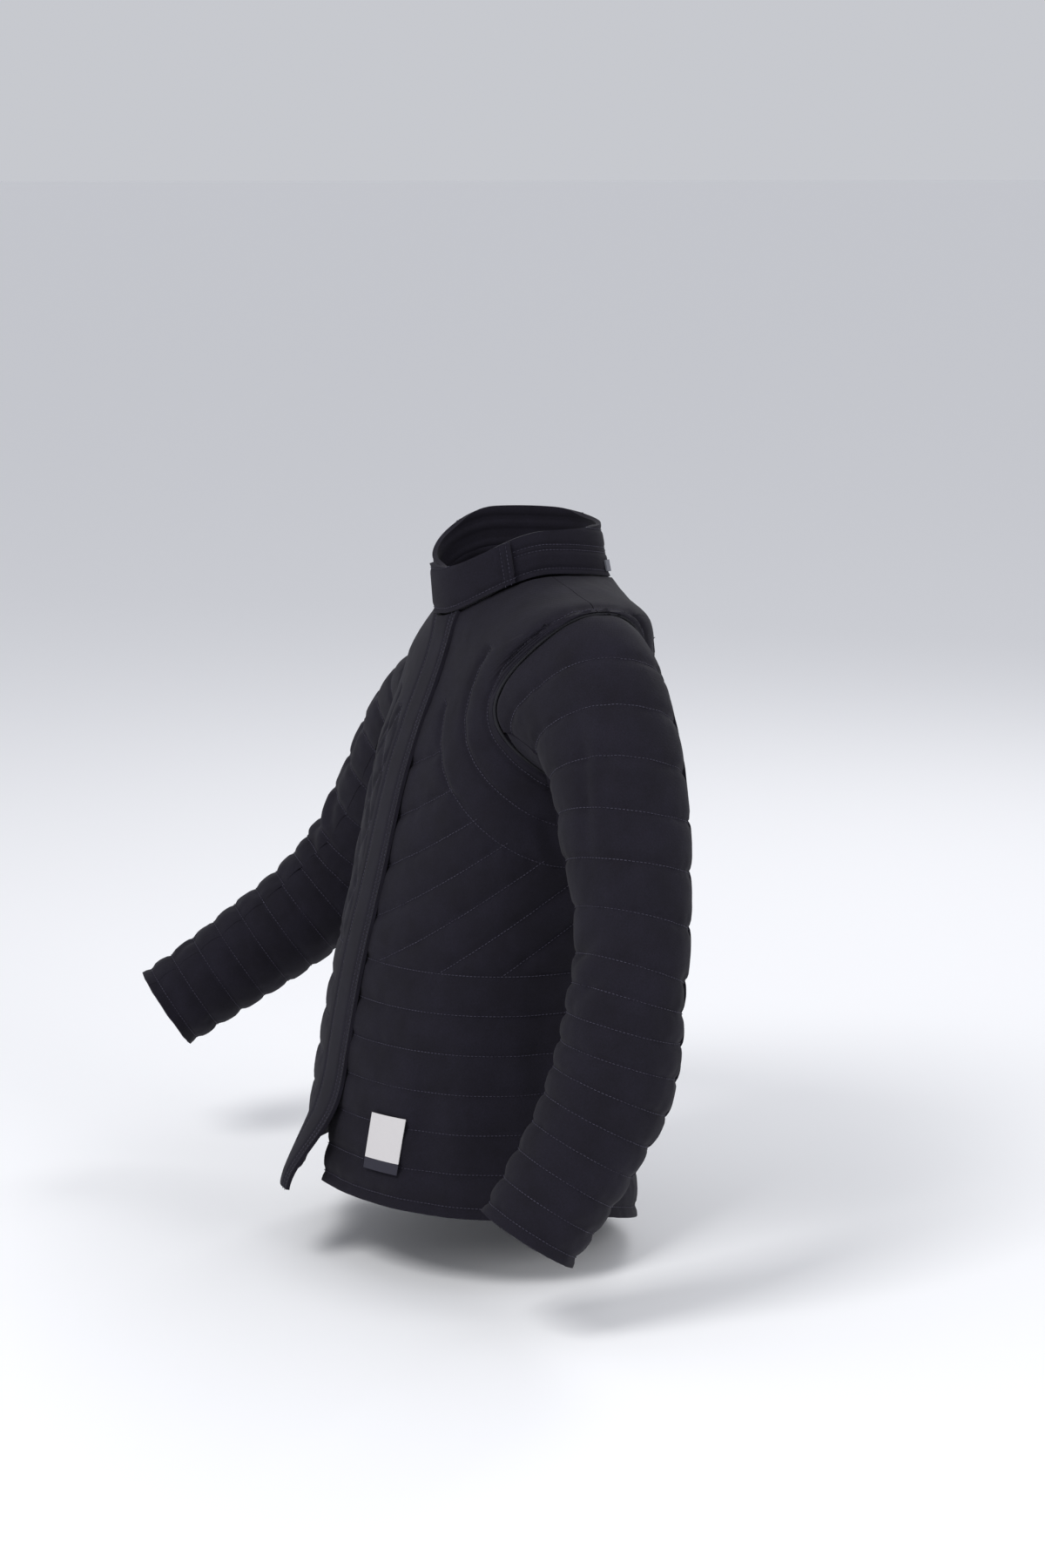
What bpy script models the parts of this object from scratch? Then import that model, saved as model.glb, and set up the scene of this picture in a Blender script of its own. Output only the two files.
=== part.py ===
"""Padded fencing jacket, worn shape with no wearer: fronts, back, stand collar, two-piece sleeves and trim.

Metres, +Z up. The chest faces -Y and the wearer's left side is +X. The origin is the centre of the neck
base, where the wearer's neck and shoulders hold the jacket up.
"""

import math

import bpy
import numpy as np

# Cloth and seams
WALL = 0.004                # quilted cloth: shell, padding and lining sewn as one
GAP = 0.0003                # clearance between two pieces at a seam
TRIM_WALL = 0.0016          # binding, tapes and webbing
SLEEVE_CLEAR = 0.0022       # between the armhole edge and the sleeve that passes through it

# The body: one ring of the surface a row, from the hem up
BODY_COLUMNS = ("z_side", "z_front", "z_back", "half_width", "y_front", "y_side", "y_back", "squareness")
BODY_RINGS = {
    "hem":          (-0.566, -0.560, -0.618, 0.192, -0.219, -0.062, 0.100, 2.05),
    "skirt":        (-0.470, -0.470, -0.492, 0.184, -0.204, -0.056, 0.096, 2.05),
    "waist":        (-0.360, -0.360, -0.366, 0.170, -0.184, -0.042, 0.094, 2.10),
    "ribs":         (-0.265, -0.265, -0.266, 0.168, -0.160, -0.026, 0.100, 2.20),
    "armpit":       (-0.168, -0.180, -0.172, 0.172, -0.139, -0.008, 0.108, 2.30),
    "chest":        (-0.105, -0.126, -0.108, 0.178, -0.121, 0.000, 0.110, 2.35),
    "armhole":      (-0.066, -0.086, -0.064, 0.188, -0.105, 0.006, 0.106, 2.35),
    "shoulder":     (-0.036, -0.060, -0.034, 0.196, -0.095, 0.010, 0.098, 2.35),
    "shoulder_mid": (-0.006, -0.039, -0.010, 0.134, -0.089, 0.004, 0.090, 2.30),
    "neck":         (0.016, -0.020, 0.010, 0.076, -0.086, 0.000, 0.082, 2.20),
}
DIP_POWER = 1.7             # how a ring's height runs from its side to its front and back
ARMPIT_ROW = 4
SHOULDER_ROW = 7
NECK_ROW = len(BODY_RINGS) - 1
LEAN_START = -0.230         # above this height the wearer's left shoulder is raised and carried forward
LEAN_RISE = 0.040
LEAN_FORWARD = 0.020
ARMHOLE_FRONT = (math.radians(43), 0.62)     # widest turn from the side, and how square the opening is
ARMHOLE_BACK = (math.radians(34), 0.40)
SIDE_SEAM_BACK = math.radians(9)             # below the armpit the side seam runs behind the side

# Front edges: x of each line at the neck and at the hem
CLOSURE_X = (0.010, 0.016)          # where the two fronts meet under the placket
PLACKET_LIFT = 0.0009                # clearance of the placket over the fronts
PLACKET_SEAM_X = (-0.012, -0.018)
PLACKET_EDGE_X = (0.035, 0.036)
KICK_START = -0.440                 # below this height the right front swings forward
KICK = 0.040
KICK_REACH = 0.110                  # how far across the right front the swing reaches

# Collar
COLLAR_WALL = 0.005
COLLAR_FRONT = 0.047
COLLAR_BACK = 0.056
COLLAR_SEAT = 0.0025         # the collar stands this far off the seam line
COLLAR_LEAN = 0.003         # the rim leans in all round
COLLAR_FORWARD = 0.007      # and the whole rim sits forward of the base
COLLAR_ROLL = 0.011         # the rim is this much lower on the wearer's left, and higher on the right
COLLAR_TURN = (math.radians(-66), math.radians(280))
TAB_TURN = (math.radians(-94), math.radians(-22))
TAB_LIFT = 0.0016

# Arms: points of each arm's centre line and its girth half-axes, from the shoulder to the cuff
ARM_COLUMNS = ("x", "y", "z", "half_wide", "half_deep")
ARM_LEFT = {
    "biceps":  (0.262, -0.009, -0.185, 0.062, 0.059),
    "lower":   (0.290, -0.013, -0.262, 0.058, 0.052),
    "elbow":   (0.310, -0.028, -0.335, 0.055, 0.053),
    "turned":  (0.313, -0.040, -0.400, 0.054, 0.057),
    "forearm": (0.310, -0.069, -0.465, 0.051, 0.053),
    "cuff":    (0.305, -0.122, -0.546, 0.047, 0.048),
}
ARM_RIGHT = {
    "biceps":  (-0.296, -0.014, -0.212, 0.061, 0.060),
    "lower":   (-0.334, -0.030, -0.277, 0.058, 0.058),
    "elbow":   (-0.360, -0.056, -0.334, 0.056, 0.058),
    "turned":  (-0.373, -0.104, -0.381, 0.053, 0.054),
    "forearm": (-0.390, -0.176, -0.434, 0.050, 0.049),
    "cuff":    (-0.405, -0.249, -0.482, 0.046, 0.045),
}
SLEEVE_REAR_SEAM = math.radians(62)
SLEEVE_FRONT_SEAM = math.radians(-118)
SLEEVE_ROWS = 20
CAP_ROWS = 8

# Grids
PANEL_COLUMNS = 10
BACK_COLUMNS = 20
LOWER_ROWS = 10                      # below, beside and above the armhole
ARMHOLE_ROWS = 10
YOKE_ROWS = 6
SLEEVE_COLUMNS = 10

# Small pieces
PIPING_RADIUS = 0.0014
PIPING_POINTS = 40
PIPING_INSET = 0.003                # how far the piping lies back from the armhole's edge
LABEL_SIDE = 0.036
LABEL_HEIGHT = 0.036
LABEL_X = 0.106
LABEL_ROW = 0.93
TAB_LABEL_HEIGHT = 0.0095
LOOP_TURN = math.radians(58)
LOOP_SPAN = math.radians(14)
LOOP_SHARES = (0.10, 0.32)

CLOTH = ("quilted_cotton", "#1c1a22", 0.85)
BINDING = ("cotton_binding", "#16151b", 0.8)
WEBBING = ("grey_webbing", "#55565c", 0.75)
WOVEN = ("woven_label", "#d9d6d6", 0.7)
TAB_CLOTH = ("tab_cloth", "#3c3a45", 0.8)


def linear(hex_colour):
    """An sRGB hex colour as linear red, green, blue and alpha."""
    parts = [int(hex_colour[place:place + 2], 16) / 255 for place in (1, 3, 5)]
    return [((part + 0.055) / 1.055) ** 2.4 if part > 0.04045 else part / 12.92 for part in parts] + [1.0]


def material(spec):
    """The Principled material of a finish, made once."""
    name, colour, roughness = spec
    if name in bpy.data.materials:
        return bpy.data.materials[name]
    made = bpy.data.materials.new(name)
    made.use_nodes = True
    shader = made.node_tree.nodes["Principled BSDF"]
    shader.inputs["Base Color"].default_value = linear(colour)
    shader.inputs["Roughness"].default_value = roughness
    shader.inputs["Metallic"].default_value = 0.0
    return made


def smooth_step(value):
    """0 to 1 with flat ends."""
    held = min(max(value, 0.0), 1.0)
    return held * held * (3 - 2 * held)


def spline_rows(rows, place):
    """A smooth curve through the rows of a table, read at a place counted in rows."""
    last = len(rows) - 1
    start = min(int(place), last - 1)
    step = place - start
    before, first, second, after = (rows[min(max(start + shift, 0), last)] for shift in (-1, 0, 1, 2))
    tangent_in = (second - before) / 2
    tangent_out = (after - first) / 2
    square, cube = step * step, step ** 3
    return (
        (2 * cube - 3 * square + 1) * first
        + (cube - 2 * square + step) * tangent_in
        + (3 * square - 2 * cube) * second
        + (cube - square) * tangent_out
    )


BODY = np.array(list(BODY_RINGS.values()))


def body_point(turn, row):
    """A point of the body's outer surface: turn is 0 at the wearer's left, -90 degrees at the front."""
    z_side, z_front, z_back, half_width, y_front, y_side, y_back, squareness = spline_rows(BODY, row)
    across, along = math.cos(turn), math.sin(turn)
    bend = 2 / squareness
    x = half_width * math.copysign(abs(across) ** bend, across)
    reach = abs(along) ** bend
    y_end, z_end = (y_front, z_front) if along < 0 else (y_back, z_back)
    y = y_side + (y_end - y_side) * reach
    z = z_side + (z_end - z_side) * abs(along) ** DIP_POWER
    share = x * abs(x) / BODY[SHOULDER_ROW][3] ** 2 * smooth_step(1 - z / LEAN_START)
    return np.array((x, y - LEAN_FORWARD * share, z + LEAN_RISE * share))


def kick_forward(point):
    """The lower corner of the right front swings forward off the left front."""
    drop = smooth_step((KICK_START - point[2]) / (KICK_START - BODY[0][1]))
    near = smooth_step(1 - max(0.0, PLACKET_EDGE_X[1] - point[0]) / KICK_REACH)
    return point + np.array((0.0, -KICK * drop * drop * near, 0.0))


def same(point):
    """A point left where it is."""
    return point


def armhole_middle(side):
    """The middle of an armhole, on the side line."""
    row = (ARMPIT_ROW + SHOULDER_ROW) / 2
    return body_point(0.0 if side > 0 else math.pi, row)


ARMHOLE_CENTRE = {side: armhole_middle(side) for side in (1, -1)}


def surface_normal(turn, row, shape=same):
    """The outward normal of the body's surface."""
    small = 0.01
    low, high = max(row - small, 0.0), min(row + small, NECK_ROW)
    along = shape(body_point(turn + small, row)) - shape(body_point(turn - small, row))
    up = shape(body_point(turn, high)) - shape(body_point(turn, low))
    normal = np.cross(along, up)
    return normal / np.linalg.norm(normal)


def lifted(turn, row, height, shape=same):
    """A point of the body's surface moved out along its normal."""
    return shape(body_point(turn, row)) + surface_normal(turn, row, shape) * height


def turn_at_x(x, row):
    """The turn at which the front of a ring crosses a given x."""
    ring = spline_rows(BODY, row)
    across = math.copysign(abs(x / ring[3]) ** (ring[7] / 2), x)
    return -math.acos(across)


def front_line(ends, row):
    """The turn of a line down the front, given by its x at the neck and at the hem."""
    x = ends[1] + (ends[0] - ends[1]) * row / NECK_ROW
    return turn_at_x(x, row)


def armhole_turn(row, opening):
    """How far the armhole opens from the side line at a row."""
    share = (row - ARMPIT_ROW) / (SHOULDER_ROW - ARMPIT_ROW)
    if share <= 0 or share >= 1:
        return 0.0
    reach, squareness = opening
    return reach * math.sin(math.pi * share) ** squareness


def side_turn(row):
    """The side seam below the armpit and the shoulder seam above it, as a turn from the side line."""
    return SIDE_SEAM_BACK * smooth_step((ARMPIT_ROW - row) / 1.5)


def seam_turn(row):
    """Half a seam's gap as a turn of the ring."""
    return GAP / 2 / spline_rows(BODY, row)[3]


def grid_mesh(name, points):
    """A mesh of quads over a grid of points."""
    rows, columns = points.shape[:2]
    faces = [
        (row * columns + column, row * columns + column + 1,
         (row + 1) * columns + column + 1, (row + 1) * columns + column)
        for row in range(rows - 1)
        for column in range(columns - 1)
    ]
    mesh = bpy.data.meshes.new(name)
    mesh.from_pydata(points.reshape(-1, 3).tolist(), [], faces)
    mesh.shade_smooth()
    return mesh


def cloth_piece(name, points, finish, wall=WALL):
    """An open surface over a grid of points, given its wall on the outer side, so seams open outwards."""
    piece = bpy.data.objects.new(name, grid_mesh(name, points))
    piece.data.materials.append(material(finish))
    jacket.objects.link(piece)
    solid = piece.modifiers.new("wall", "SOLIDIFY")
    solid.thickness = wall
    solid.offset = 1.0
    solid.use_even_offset = False
    return piece


def row_places():
    """Places of the grid's rows, with one at each end of the armhole."""
    lower = np.linspace(0, ARMPIT_ROW, LOWER_ROWS)
    eased = (1 - np.cos(np.linspace(0, np.pi, ARMHOLE_ROWS))) / 2
    middle = ARMPIT_ROW + (SHOULDER_ROW - ARMPIT_ROW) * eased
    upper = np.linspace(SHOULDER_ROW, NECK_ROW, YOKE_ROWS)
    return np.concatenate((lower, middle[1:], upper[1:]))


def panel(start, stop, columns, shape=same):
    """A body panel between two lines, each a function from row to turn."""
    grid = []
    for row in row_places():
        turns = np.linspace(start(row), stop(row), columns)
        grid.append([lifted(turn, row, -WALL, shape) for turn in turns])
    return np.array(grid)


def build_fronts():
    """Left and right fronts, which meet under the placket."""
    left = panel(
        lambda row: front_line(CLOSURE_X, row) + seam_turn(row),
        lambda row: side_turn(row) - armhole_turn(row, ARMHOLE_FRONT) - seam_turn(row),
        PANEL_COLUMNS,
    )
    cloth_piece("front_left", left, CLOTH)
    right = panel(
        lambda row: -math.pi - side_turn(row) + armhole_turn(row, ARMHOLE_FRONT) + seam_turn(row),
        lambda row: front_line(CLOSURE_X, row) - seam_turn(row),
        PANEL_COLUMNS,
        kick_forward,
    )
    cloth_piece("front_right", right, CLOTH)


def build_back():
    """The back, cut in one piece between the side and shoulder seams."""
    back = panel(
        lambda row: side_turn(row) + armhole_turn(row, ARMHOLE_BACK) + seam_turn(row),
        lambda row: math.pi - side_turn(row) - armhole_turn(row, ARMHOLE_BACK) - seam_turn(row),
        BACK_COLUMNS,
    )
    cloth_piece("back", back, CLOTH)


def build_placket():
    """The double strip sewn to the right front's edge, which covers the closure."""
    grid = []
    for row in row_places():
        turns = np.linspace(front_line(PLACKET_SEAM_X, row), front_line(PLACKET_EDGE_X, row), 5)
        grid.append([lifted(turn, row, PLACKET_LIFT, kick_forward) for turn in turns])
    cloth_piece("placket", np.array(grid), CLOTH)


def collar_point(turn, share, lift=0.0):
    """A point of the collar's outer face: share is 0 at its base and 1 at its rim."""
    base = body_point(turn, NECK_ROW)
    front = (1 - math.sin(turn)) / 2
    height = COLLAR_BACK + (COLLAR_FRONT - COLLAR_BACK) * front - COLLAR_ROLL * math.cos(turn)
    outward = np.array((base[0], base[1], 0.0))
    outward /= np.linalg.norm(outward)
    inset = -COLLAR_LEAN * share + lift
    return base + outward * inset + np.array((0.0, -COLLAR_FORWARD * share, COLLAR_SEAT + height * share))


def build_collar():
    """The stand collar and the tab that wraps its front opening."""
    def grid(turn_ends, columns, shares, lift):
        turns = np.linspace(*turn_ends, columns)
        return np.array([[collar_point(turn, share, lift) for turn in turns] for share in shares])

    cloth_piece("collar", grid(COLLAR_TURN, 34, np.linspace(0, 1, 5), -COLLAR_WALL), CLOTH, COLLAR_WALL)
    tab_lift = GAP + TAB_LIFT
    cloth_piece("collar_tab", grid(TAB_TURN, 12, np.linspace(0.02, 0.99, 4), tab_lift), CLOTH, WALL)


def armhole_point(side, angle):
    """The body's armhole edge. The angle runs from the shoulder tip (0) round by the front (-) or back (+)."""
    share = 1 - abs(angle) / math.pi
    eased = (1 - math.cos(math.pi * share)) / 2
    row = ARMPIT_ROW + (SHOULDER_ROW - ARMPIT_ROW) * eased
    opening = armhole_turn(row, ARMHOLE_FRONT if angle < 0 else ARMHOLE_BACK)
    turn = -opening if angle < 0 else opening
    if side < 0:
        turn = math.pi - turn
    return turn, row


def sleeve_head(side, angle):
    """The inner face of the sleeve's edge, which passes through the armhole just inside the body's edge."""
    turn, row = armhole_point(side, angle)
    normal = surface_normal(turn, row)
    small = 0.02
    ahead = body_point(*armhole_point(side, min(angle + small, math.pi)))
    behind = body_point(*armhole_point(side, max(angle - small, -math.pi)))
    across = np.cross(ahead - behind, normal)
    across *= math.copysign(1.0, across.dot(ARMHOLE_CENTRE[side] - body_point(turn, row)))
    across /= np.linalg.norm(across)
    return body_point(turn, row) - normal * WALL + across * (WALL + SLEEVE_CLEAR)


def arm_frame(table, place):
    """Centre, outward and rear directions and half-axes of the arm at a place counted in rows."""
    rows = np.array(list(table.values()))
    here = spline_rows(rows, place)
    small = 0.05
    low, high = max(place - small, 0.0), min(place + small, len(rows) - 1)
    axis = spline_rows(rows, high)[:3] - spline_rows(rows, low)[:3]
    axis /= np.linalg.norm(axis)
    side = math.copysign(1.0, rows[0][0])
    outward = np.array((side, 0.0, 0.0))
    outward -= axis * outward.dot(axis)
    outward /= np.linalg.norm(outward)
    rear = np.cross(axis, outward) * side
    rear *= math.copysign(1.0, rear[1])
    return here[:3], axis, outward, rear, here[3], here[4]


def arm_point(table, angle, place, lift=0.0):
    """A point of the sleeve below its cap. The angle is 0 on the outer side and positive to the rear."""
    centre, _, outward, rear, half_wide, half_deep = arm_frame(table, place)
    return (
        centre
        + outward * math.cos(angle) * (half_wide + lift)
        + rear * math.sin(angle) * (half_deep + lift)
    )


def sleeve_point(side, table, angle, travel):
    """A point of the sleeve: travel is 0 at the head, 1 at the foot of the cap and 2 at the cuff."""
    if travel >= 1:
        return arm_point(table, angle, (travel - 1) * (len(table) - 1), -WALL)
    head = sleeve_head(side, angle)
    foot = arm_point(table, angle, 0.0, -WALL)
    axis = arm_frame(table, 0.0)[1]
    rise = max((foot - head).dot(axis), 0.0) * 0.8
    knee = foot - axis * rise
    return (1 - travel) ** 2 * head + 2 * travel * (1 - travel) * knee + travel ** 2 * foot


def sleeve_travels():
    """Places of the sleeve's rings."""
    cap = np.linspace(0, 1, CAP_ROWS + 1)
    return np.concatenate((cap, np.linspace(1, 2, SLEEVE_ROWS - CAP_ROWS + 1)[1:]))


def sleeve_grid(side, table, first, last):
    """The grid of a sleeve panel between two seam angles."""
    seam = GAP / 2 / table["biceps"][3]
    angles = np.linspace(first + seam, last - seam, SLEEVE_COLUMNS)
    grid = []
    for travel in sleeve_travels():
        ring = []
        for angle in angles:
            wrapped = (angle + math.pi) % (2 * math.pi) - math.pi
            ring.append(sleeve_point(side, table, wrapped, travel))
        grid.append(ring)
    grid = np.array(grid)
    return grid[:, ::-1] if side > 0 else grid


def build_sleeve(word, side, table):
    """A two-piece sleeve: the outer panel over the shoulder and elbow, the under panel beneath."""
    outer = sleeve_grid(side, table, SLEEVE_FRONT_SEAM, SLEEVE_REAR_SEAM)
    under = sleeve_grid(side, table, SLEEVE_REAR_SEAM, SLEEVE_FRONT_SEAM + 2 * math.pi)
    cloth_piece(f"sleeve_{word}_outer", outer, CLOTH)
    cloth_piece(f"sleeve_{word}_under", under, CLOTH)


def build_piping(word, side):
    """The piping sewn along the armhole's edge."""
    curve = bpy.data.curves.new(f"armhole_piping_{word}", "CURVE")
    curve.dimensions = "3D"
    curve.bevel_depth = PIPING_RADIUS
    curve.bevel_resolution = 1
    curve.use_fill_caps = True
    route = []
    for angle in np.linspace(-0.93 * math.pi, 0.93 * math.pi, PIPING_POINTS):
        turn, row = armhole_point(side, angle)
        away = body_point(turn, row) - ARMHOLE_CENTRE[side]
        away /= np.linalg.norm(away)
        rise = surface_normal(turn, row) * (2 * PIPING_RADIUS)
        route.append(body_point(turn, row) + rise + away * PIPING_INSET)
    line = curve.splines.new("POLY")
    line.points.add(len(route) - 1)
    for place, point in zip(line.points, route):
        place.co = (*point, 1.0)
    piece = bpy.data.objects.new(curve.name, curve)
    curve.materials.append(material(BINDING))
    jacket.objects.link(piece)


def build_label():
    """The woven label on the left front's skirt, and the small tab below it."""
    def patch(name, row_ends, finish, lift, wall, width):
        grid = []
        for row in np.linspace(*row_ends, 4):
            turns = [turn_at_x(x, row) for x in np.linspace(LABEL_X - width / 2, LABEL_X + width / 2, 5)]
            grid.append([lifted(turn, row, lift) for turn in turns])
        cloth_piece(name, np.array(grid), finish, wall)

    row_height = BODY[1][1] - BODY[0][1]
    low = LABEL_ROW - LABEL_HEIGHT / row_height
    patch("label", (low, LABEL_ROW), WOVEN, GAP, TRIM_WALL / 2, LABEL_SIDE)
    drop = TAB_LABEL_HEIGHT / row_height
    patch("label_tab", (low - drop, low - GAP / row_height), TAB_CLOTH, GAP, TRIM_WALL / 2, LABEL_SIDE)


def build_loop():
    """The webbing hanger sewn to the foot of the collar behind the left side."""
    turns = np.linspace(LOOP_TURN - LOOP_SPAN / 2, LOOP_TURN + LOOP_SPAN / 2, 5)
    grid = [[collar_point(turn, share, GAP) for turn in turns] for share in np.linspace(*LOOP_SHARES, 3)]
    cloth_piece("neck_loop", np.array(grid), WEBBING, TRIM_WALL)


def new_collection(name):
    """A collection in the scene."""
    made = bpy.data.collections.new(name)
    bpy.context.scene.collection.children.link(made)
    return made


def clear_scene():
    """Take out whatever the scene holds."""
    for held in list(bpy.data.objects):
        bpy.data.objects.remove(held, do_unlink=True)


clear_scene()
jacket = new_collection("fencing_jacket")
build_fronts()
build_back()
build_placket()
build_collar()
build_sleeve("left", 1, ARM_LEFT)
build_sleeve("right", -1, ARM_RIGHT)
build_piping("left", 1)
build_piping("right", -1)
build_label()
build_loop()
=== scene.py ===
"""Looks of the quilted fencing jacket: padded cotton panels with sewn channels, stitches, trim and stage.

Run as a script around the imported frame. Metres, +Z up, the chest faces -Y and +X is the wearer's left.
"""

import math

import bpy
import numpy as np
from mathutils import Matrix, Vector, noise


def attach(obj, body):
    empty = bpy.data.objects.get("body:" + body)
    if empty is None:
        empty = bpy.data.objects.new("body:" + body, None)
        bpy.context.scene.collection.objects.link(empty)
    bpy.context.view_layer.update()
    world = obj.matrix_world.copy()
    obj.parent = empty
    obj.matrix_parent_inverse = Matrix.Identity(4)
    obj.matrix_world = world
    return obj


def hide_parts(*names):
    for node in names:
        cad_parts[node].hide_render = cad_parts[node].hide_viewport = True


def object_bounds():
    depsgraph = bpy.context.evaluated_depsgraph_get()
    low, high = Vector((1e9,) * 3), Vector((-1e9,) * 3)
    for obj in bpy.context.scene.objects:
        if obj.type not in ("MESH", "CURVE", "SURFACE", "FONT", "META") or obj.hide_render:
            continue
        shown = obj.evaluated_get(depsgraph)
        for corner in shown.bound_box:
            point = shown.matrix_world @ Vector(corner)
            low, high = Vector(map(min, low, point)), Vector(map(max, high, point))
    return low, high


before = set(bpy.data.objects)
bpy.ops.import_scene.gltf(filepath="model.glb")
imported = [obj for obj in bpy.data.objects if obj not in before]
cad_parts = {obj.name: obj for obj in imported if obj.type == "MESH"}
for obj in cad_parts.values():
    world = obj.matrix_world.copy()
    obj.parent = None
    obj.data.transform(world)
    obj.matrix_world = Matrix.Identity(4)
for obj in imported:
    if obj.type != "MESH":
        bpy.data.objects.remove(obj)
CAD_BOX = [list(map(float, corner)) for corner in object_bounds()]

bl_info = {
    "name": "Quilted fencing jacket",
    "version": (1, 0, 0),
    "blender": (4, 5, 0),
    "location": "3D View > Sidebar > Jacket",
    "description": "Padded cotton panels, stitches and trim for the fencing jacket",
    "category": "Object",
}

# The cut: these repeat the solids' own sizes, so that each panel lies where its solid does

# Cloth and seams
WALL = 0.004                # quilted cloth: shell, padding and lining sewn as one
GAP = 0.0003                # clearance between two pieces at a seam
TRIM_WALL = 0.0016          # binding, tapes and webbing
SLEEVE_CLEAR = 0.0022       # between the armhole edge and the sleeve that passes through it

# The body: one ring of the surface a row, from the hem up
# Columns: z_side, z_front, z_back, half_width, y_front, y_side, y_back, squareness
BODY_RINGS = {
    "hem":          (-0.566, -0.560, -0.618, 0.192, -0.219, -0.062, 0.100, 2.05),
    "skirt":        (-0.470, -0.470, -0.492, 0.184, -0.204, -0.056, 0.096, 2.05),
    "waist":        (-0.360, -0.360, -0.366, 0.170, -0.184, -0.042, 0.094, 2.10),
    "ribs":         (-0.265, -0.265, -0.266, 0.168, -0.160, -0.026, 0.100, 2.20),
    "armpit":       (-0.168, -0.180, -0.172, 0.172, -0.139, -0.008, 0.108, 2.30),
    "chest":        (-0.105, -0.126, -0.108, 0.178, -0.121, 0.000, 0.110, 2.35),
    "armhole":      (-0.066, -0.086, -0.064, 0.188, -0.105, 0.006, 0.106, 2.35),
    "shoulder":     (-0.036, -0.060, -0.034, 0.196, -0.095, 0.010, 0.098, 2.35),
    "shoulder_mid": (-0.006, -0.039, -0.010, 0.134, -0.089, 0.004, 0.090, 2.30),
    "neck":         (0.016, -0.020, 0.010, 0.076, -0.086, 0.000, 0.082, 2.20),
}
DIP_POWER = 1.7             # how a ring's height runs from its side to its front and back
ARMPIT_ROW = 4
SHOULDER_ROW = 7
NECK_ROW = len(BODY_RINGS) - 1
LEAN_START = -0.230         # above this height the wearer's left shoulder is raised and carried forward
LEAN_RISE = 0.040
LEAN_FORWARD = 0.020
ARMHOLE_FRONT = (math.radians(43), 0.62)     # widest turn from the side, and how square the opening is
ARMHOLE_BACK = (math.radians(34), 0.40)
SIDE_SEAM_BACK = math.radians(9)             # below the armpit the side seam runs behind the side

# Front edges: x of each line at the neck and at the hem
CLOSURE_X = (0.010, 0.016)          # where the two fronts meet under the placket
PLACKET_LIFT = 0.0009                # clearance of the placket over the fronts
PLACKET_SEAM_X = (-0.012, -0.018)
PLACKET_EDGE_X = (0.035, 0.036)
KICK_START = -0.440                 # below this height the right front swings forward
KICK = 0.040
KICK_REACH = 0.110                  # how far across the right front the swing reaches

# Collar
COLLAR_WALL = 0.005
COLLAR_FRONT = 0.047
COLLAR_BACK = 0.056
COLLAR_SEAT = 0.0025         # the collar stands this far off the seam line
COLLAR_LEAN = 0.003         # the rim leans in all round
COLLAR_FORWARD = 0.007      # and the whole rim sits forward of the base
COLLAR_ROLL = 0.011         # the rim is this much lower on the wearer's left, and higher on the right
COLLAR_TURN = (math.radians(-66), math.radians(280))
TAB_TURN = (math.radians(-94), math.radians(-22))
TAB_LIFT = 0.0016

# Arms: points of each arm's centre line and its girth half-axes, from the shoulder to the cuff
# Columns: x, y, z, half_wide, half_deep
ARM_LEFT = {
    "biceps":  (0.262, -0.009, -0.185, 0.062, 0.059),
    "lower":   (0.290, -0.013, -0.262, 0.058, 0.052),
    "elbow":   (0.310, -0.028, -0.335, 0.055, 0.053),
    "turned":  (0.313, -0.040, -0.400, 0.054, 0.057),
    "forearm": (0.310, -0.069, -0.465, 0.051, 0.053),
    "cuff":    (0.305, -0.122, -0.546, 0.047, 0.048),
}
ARM_RIGHT = {
    "biceps":  (-0.296, -0.014, -0.212, 0.061, 0.060),
    "lower":   (-0.334, -0.030, -0.277, 0.058, 0.058),
    "elbow":   (-0.360, -0.056, -0.334, 0.056, 0.058),
    "turned":  (-0.373, -0.104, -0.381, 0.053, 0.054),
    "forearm": (-0.390, -0.176, -0.434, 0.050, 0.049),
    "cuff":    (-0.405, -0.249, -0.482, 0.046, 0.045),
}
SLEEVE_REAR_SEAM = math.radians(62)
SLEEVE_FRONT_SEAM = math.radians(-118)

# Small pieces
LABEL_SIDE = 0.036
LABEL_HEIGHT = 0.036
LABEL_X = 0.106
LABEL_ROW = 0.93
TAB_LABEL_HEIGHT = 0.0095
LOOP_TURN = math.radians(58)
LOOP_SPAN = math.radians(14)
LOOP_SHARES = (0.10, 0.32)


def smooth_step(value):
    """0 to 1 with flat ends."""
    held = min(max(value, 0.0), 1.0)
    return held * held * (3 - 2 * held)


def spline_rows(rows, place):
    """A smooth curve through the rows of a table, read at a place counted in rows."""
    last = len(rows) - 1
    start = min(int(place), last - 1)
    step = place - start
    before, first, second, after = (rows[min(max(start + shift, 0), last)] for shift in (-1, 0, 1, 2))
    tangent_in = (second - before) / 2
    tangent_out = (after - first) / 2
    square, cube = step * step, step ** 3
    return (
        (2 * cube - 3 * square + 1) * first
        + (cube - 2 * square + step) * tangent_in
        + (3 * square - 2 * cube) * second
        + (cube - square) * tangent_out
    )


BODY = np.array(list(BODY_RINGS.values()))


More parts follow.
